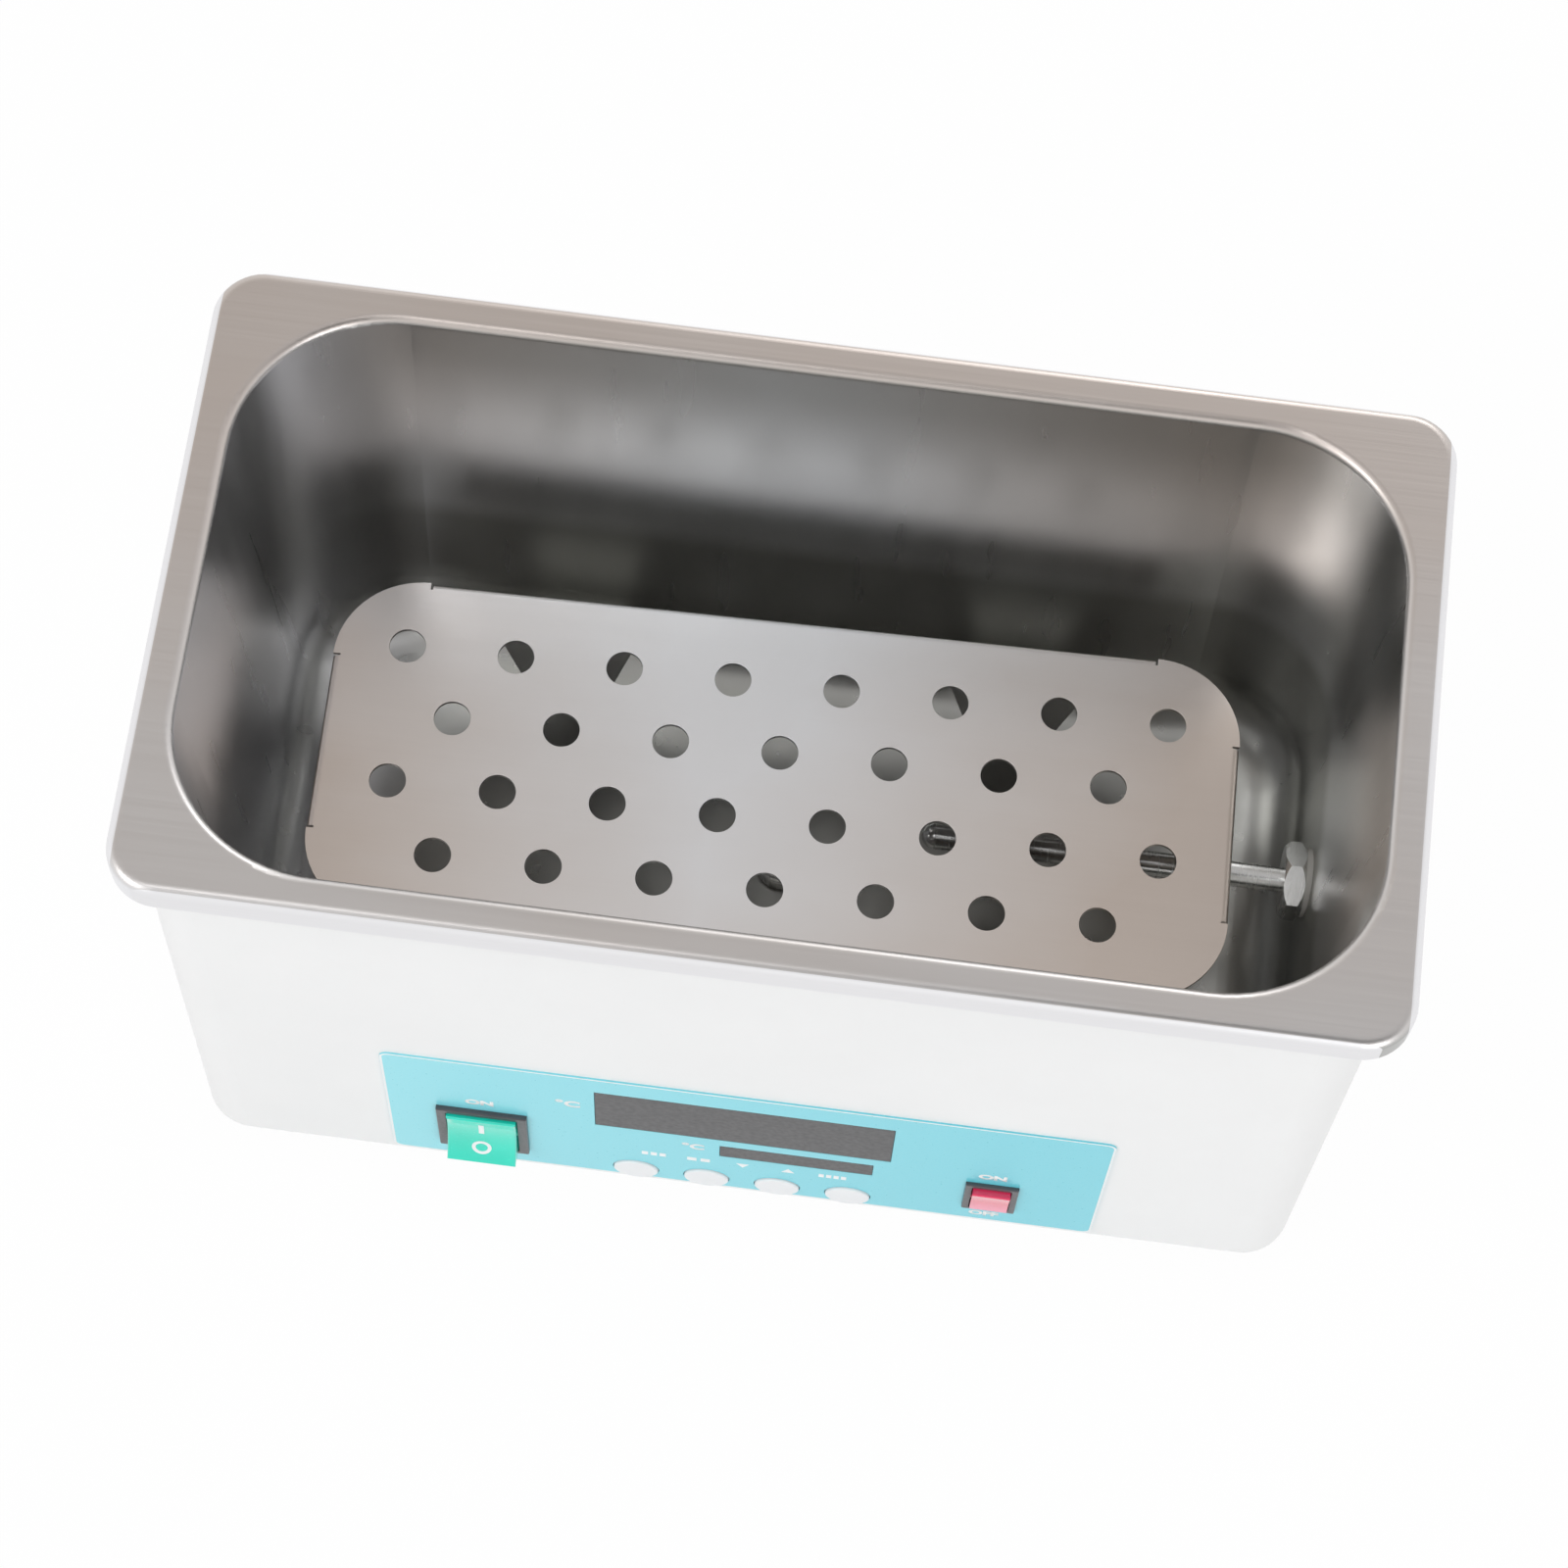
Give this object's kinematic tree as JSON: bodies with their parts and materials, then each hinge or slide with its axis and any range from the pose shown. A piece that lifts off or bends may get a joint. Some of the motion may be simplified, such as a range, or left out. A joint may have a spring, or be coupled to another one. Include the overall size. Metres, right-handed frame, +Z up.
{
  "type": "laboratory water bath",
  "caption": "Bench-top water bath: deep steel tank with a flat rim in a painted casing, perforated lift-out shelf, temperature probe, and a front panel with rockers, buttons and displays.",
  "frame": {"origin": "middle of the object's footprint, at the underside of its feet", "axes": "+X along the bath's length to the probe's end, -Y towards the user (the control panel's side), +Z up"},
  "size_m": [0.325, 0.1774, 0.21],
  "materials": {
    "stainless": "brushed, satin",
    "white_paint": "smooth satin powder coat",
    "rubber_black": "matt",
    "zinc_steel": "zinc plated",
    "silicone_red": "matt",
    "aluminium_sheet": "mill finish",
    "insulation": "felted fibre",
    "label_teal": "satin printed film",
    "window_dark": "polished, dark",
    "circuit_board": "solder resist",
    "black_plastic": "fine moulded",
    "button_white": "satin moulded",
    "rocker_green": "lit, translucent",
    "rocker_red": "translucent",
    "brass_tin": "tinned",
    "component_blue": "moulded",
    "component_green": "moulded",
    "fuse_glass": "clear",
    "lead_grey": "soft insulation",
    "transformer_core": "varnished laminations"
  },
  "bodies": {
    "housing": {"tank": "stainless", "sensor_tube": "stainless", "sensor_fitting": "stainless", "sensor_seal": "silicone_red", "sensor_locknut": "stainless", "heater_pad": "silicone_red", "heater_plate": "aluminium_sheet", "floor_insulation": "insulation", "heater_bolt": "stainless", "heater_bolt_seal": "silicone_red", "heater_bolt_nut": "zinc_steel", "thermal_cutout": "black_plastic", "power_switch_body": "black_plastic", "power_switch_tabs": "brass_tin", "aux_switch_body": "black_plastic", "aux_switch_tabs": "brass_tin", "front_label": "label_teal", "large_window": "window_dark", "small_window": "window_dark", "display_board": "circuit_board", "large_display_module": "black_plastic", "small_display_module": "black_plastic", "display_pillars": "zinc_steel", "display_board_screws": "zinc_steel", "key_switches": "black_plastic", "mains_inlet": "black_plastic", "inlet_blades": "brass_tin", "inlet_screws": "zinc_steel", "base_plate": "zinc_steel", "rubber_feet": "rubber_black", "foot_screws": "zinc_steel", "tie_studs": "zinc_steel", "tie_nuts": "zinc_steel", "outer_casing": "white_paint", "base_screws": "zinc_steel", "rim_seal": "rubber_black", "wall_insulation": "insulation", "power_board": "circuit_board", "power_pillars": "zinc_steel", "power_board_screws": "zinc_steel", "transformer": "transformer_core", "relay": "component_blue", "capacitors": "black_plastic", "triac_heat_sink": "aluminium_sheet", "terminal_block": "component_green", "earth_stud": "zinc_steel", "display_ribbon": "lead_grey", "sensor_lead": "lead_grey", "mains_leads": "lead_grey"},
    "shelf": {"shelf": "stainless"},
    "power_rocker": {"power_rocker": "rocker_green"},
    "aux_rocker": {"aux_rocker": "rocker_red"},
    "fuse_drawer": {"fuse_drawer": "black_plastic", "fuse": "fuse_glass"},
    "button_1": {"button_1": "button_white"},
    "button_2": {"button_2": "button_white"},
    "button_3": {"button_3": "button_white"},
    "button_4": {"button_4": "button_white"}
  },
  "joints": [
    {"name": "shelf_lift", "type": "slide", "parent": "housing", "child": "shelf", "axis": [0, 0, 1], "range_m": [0, 0.155]},
    {"name": "power_rocker_tilt", "type": "hinge", "parent": "housing", "child": "power_rocker", "pos_m": [-0.0737, -0.08179, 0.0415], "axis": [1, 0, 0], "range_deg": [0, 20]},
    {"name": "aux_rocker_tilt", "type": "hinge", "parent": "housing", "child": "aux_rocker", "pos_m": [0.07, -0.08179, 0.038], "axis": [1, 0, 0], "range_deg": [-8, 0]},
    {"name": "fuse_drawer_pull", "type": "slide", "parent": "housing", "child": "fuse_drawer", "axis": [0, 1, 0], "range_m": [0, 0.016]},
    {"name": "button_1_press", "type": "slide", "parent": "housing", "child": "button_1", "axis": [0, 1, 0], "range_m": [0, 0.0005], "stiffness_N_per_m": 2500, "springref_m": -0.0002},
    {"name": "button_2_press", "type": "slide", "parent": "housing", "child": "button_2", "axis": [0, 1, 0], "range_m": [0, 0.0005], "stiffness_N_per_m": 2500, "springref_m": -0.0002},
    {"name": "button_3_press", "type": "slide", "parent": "housing", "child": "button_3", "axis": [0, 1, 0], "range_m": [0, 0.0005], "stiffness_N_per_m": 2500, "springref_m": -0.0002},
    {"name": "button_4_press", "type": "slide", "parent": "housing", "child": "button_4", "axis": [0, 1, 0], "range_m": [0, 0.0005], "stiffness_N_per_m": 2500, "springref_m": -0.0002}
  ]
}
